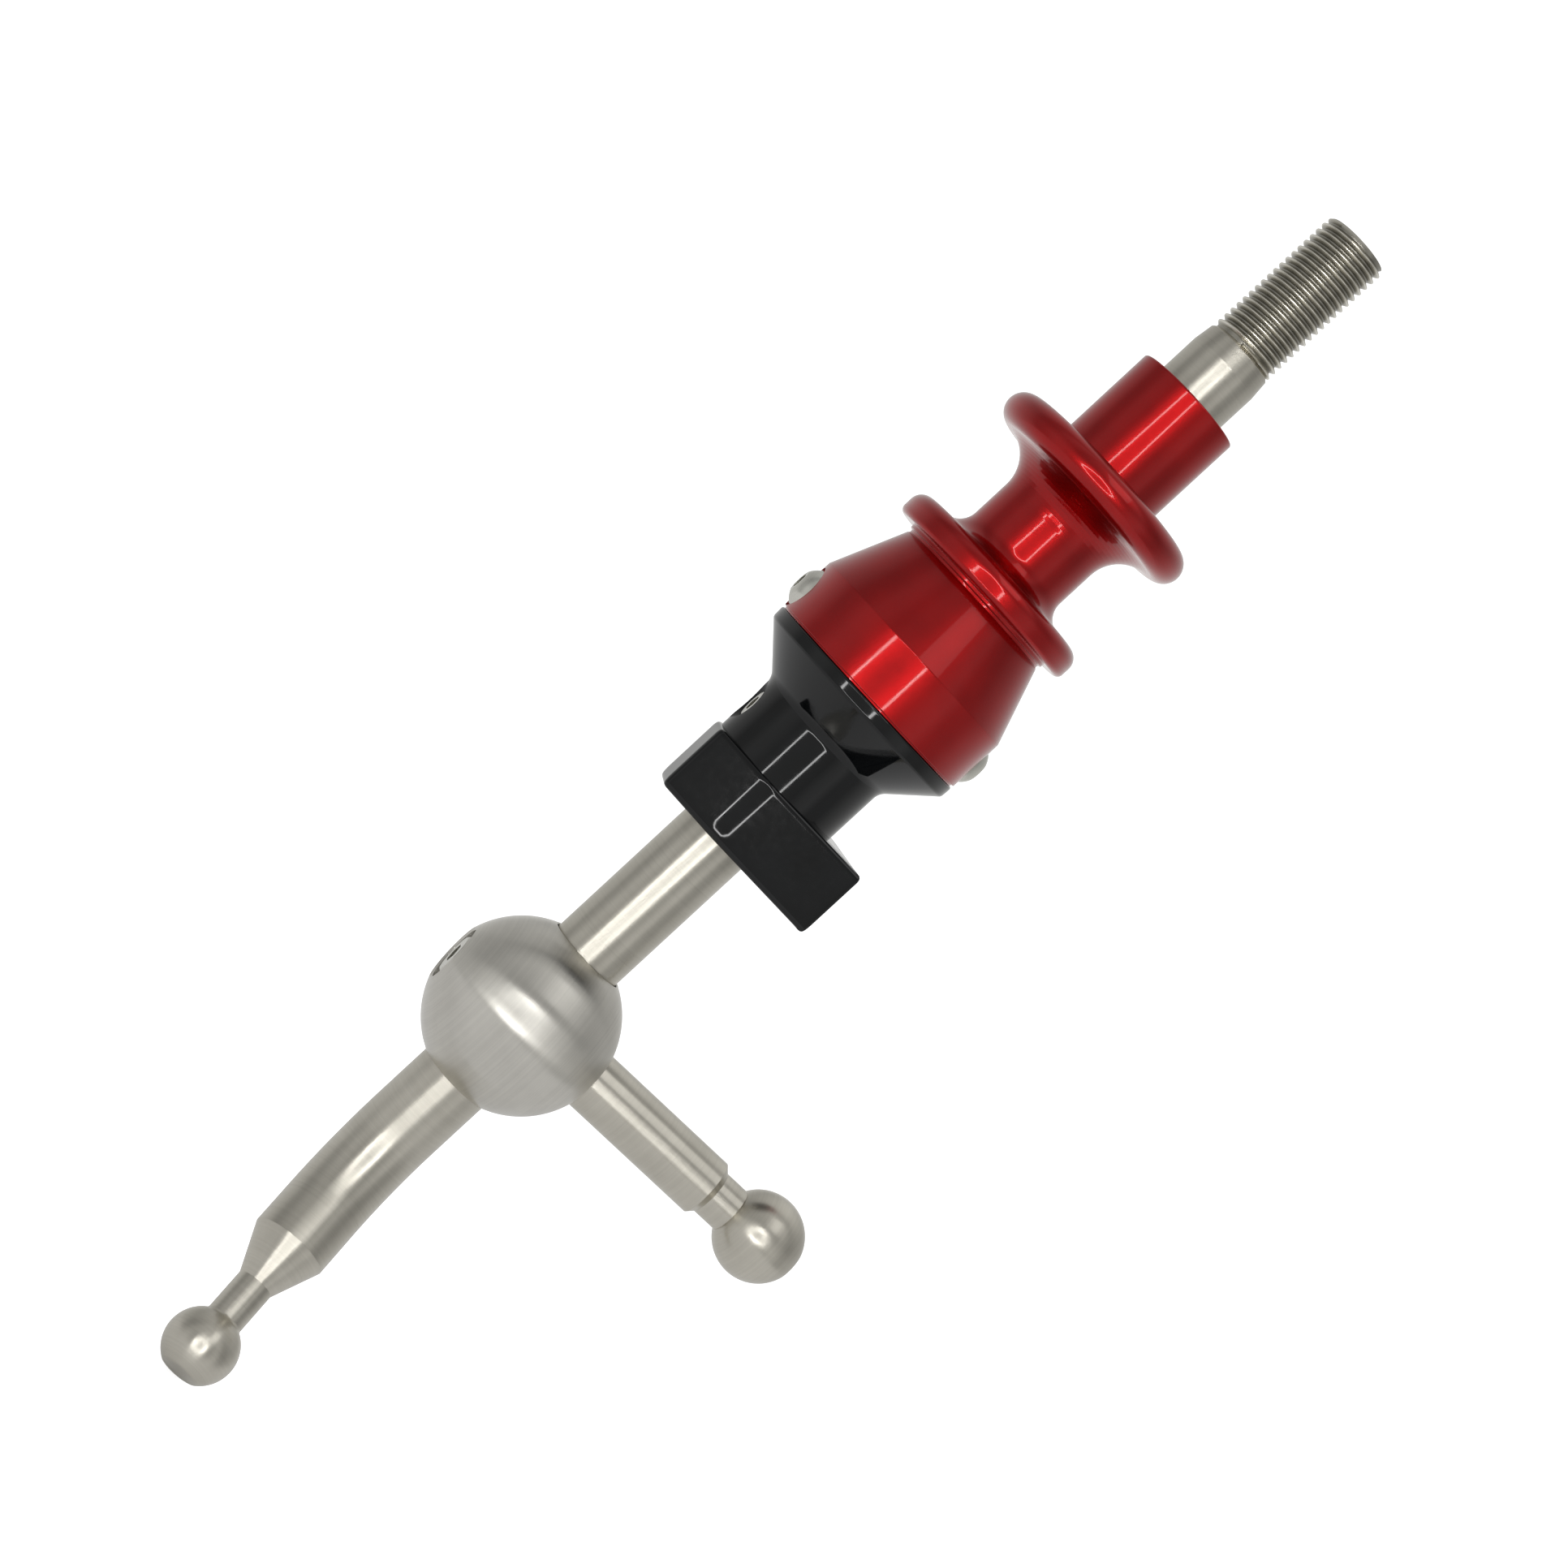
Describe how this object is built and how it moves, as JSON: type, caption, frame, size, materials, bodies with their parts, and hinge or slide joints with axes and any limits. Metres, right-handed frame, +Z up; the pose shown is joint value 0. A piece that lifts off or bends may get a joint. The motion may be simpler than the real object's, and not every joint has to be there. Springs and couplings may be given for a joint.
{
  "type": "gear shift lever",
  "caption": "Bent gear shift lever with a pivot ball, a side selector arm, ball ends, a threaded knob end and a sprung lift collar with a reverse lockout foot.",
  "frame": {"origin": "centre of the pivot ball, which the shifter's socket holds", "axes": "+Z up the lever to the knob's thread, +X to the side of the selector arm, the lower end of the rod is bent towards -Y"},
  "size_m": [0.0784, 0.0439, 0.2456],
  "materials": {
    "stainless": "fine turned, satin",
    "stainless_ball": "satin, turned rings",
    "screw_steel": "plain stainless",
    "spring_steel": "drawn wire",
    "red_anodised": "glossy candy red anodising",
    "gloss_black": "gloss black coating",
    "bush_plastic": "plain acetal"
  },
  "bodies": {
    "lever": {"lever_rod": "stainless", "pivot_ball": "stainless_ball", "side_arm": "stainless", "clamp_screw": "screw_steel", "clamp_washer": "screw_steel", "upper_spring_seat": "screw_steel", "retaining_ring": "spring_steel", "lift_spring": "spring_steel"},
    "collar": {"lift_collar": "red_anodised", "lockout_foot": "gloss_black", "collar_screw_left": "screw_steel", "collar_screw_right": "screw_steel", "guide_screw": "screw_steel", "upper_bush": "bush_plastic", "lower_bush": "bush_plastic", "lower_spring_seat": "screw_steel"}
  },
  "joints": [
    {"name": "collar_lift", "type": "slide", "parent": "lever", "child": "collar", "axis": [0, 0, 1], "range_m": [0, 0.01], "stiffness_N_per_m": 900, "springref_m": -0.012, "deforming": ["lift_spring"]}
  ]
}
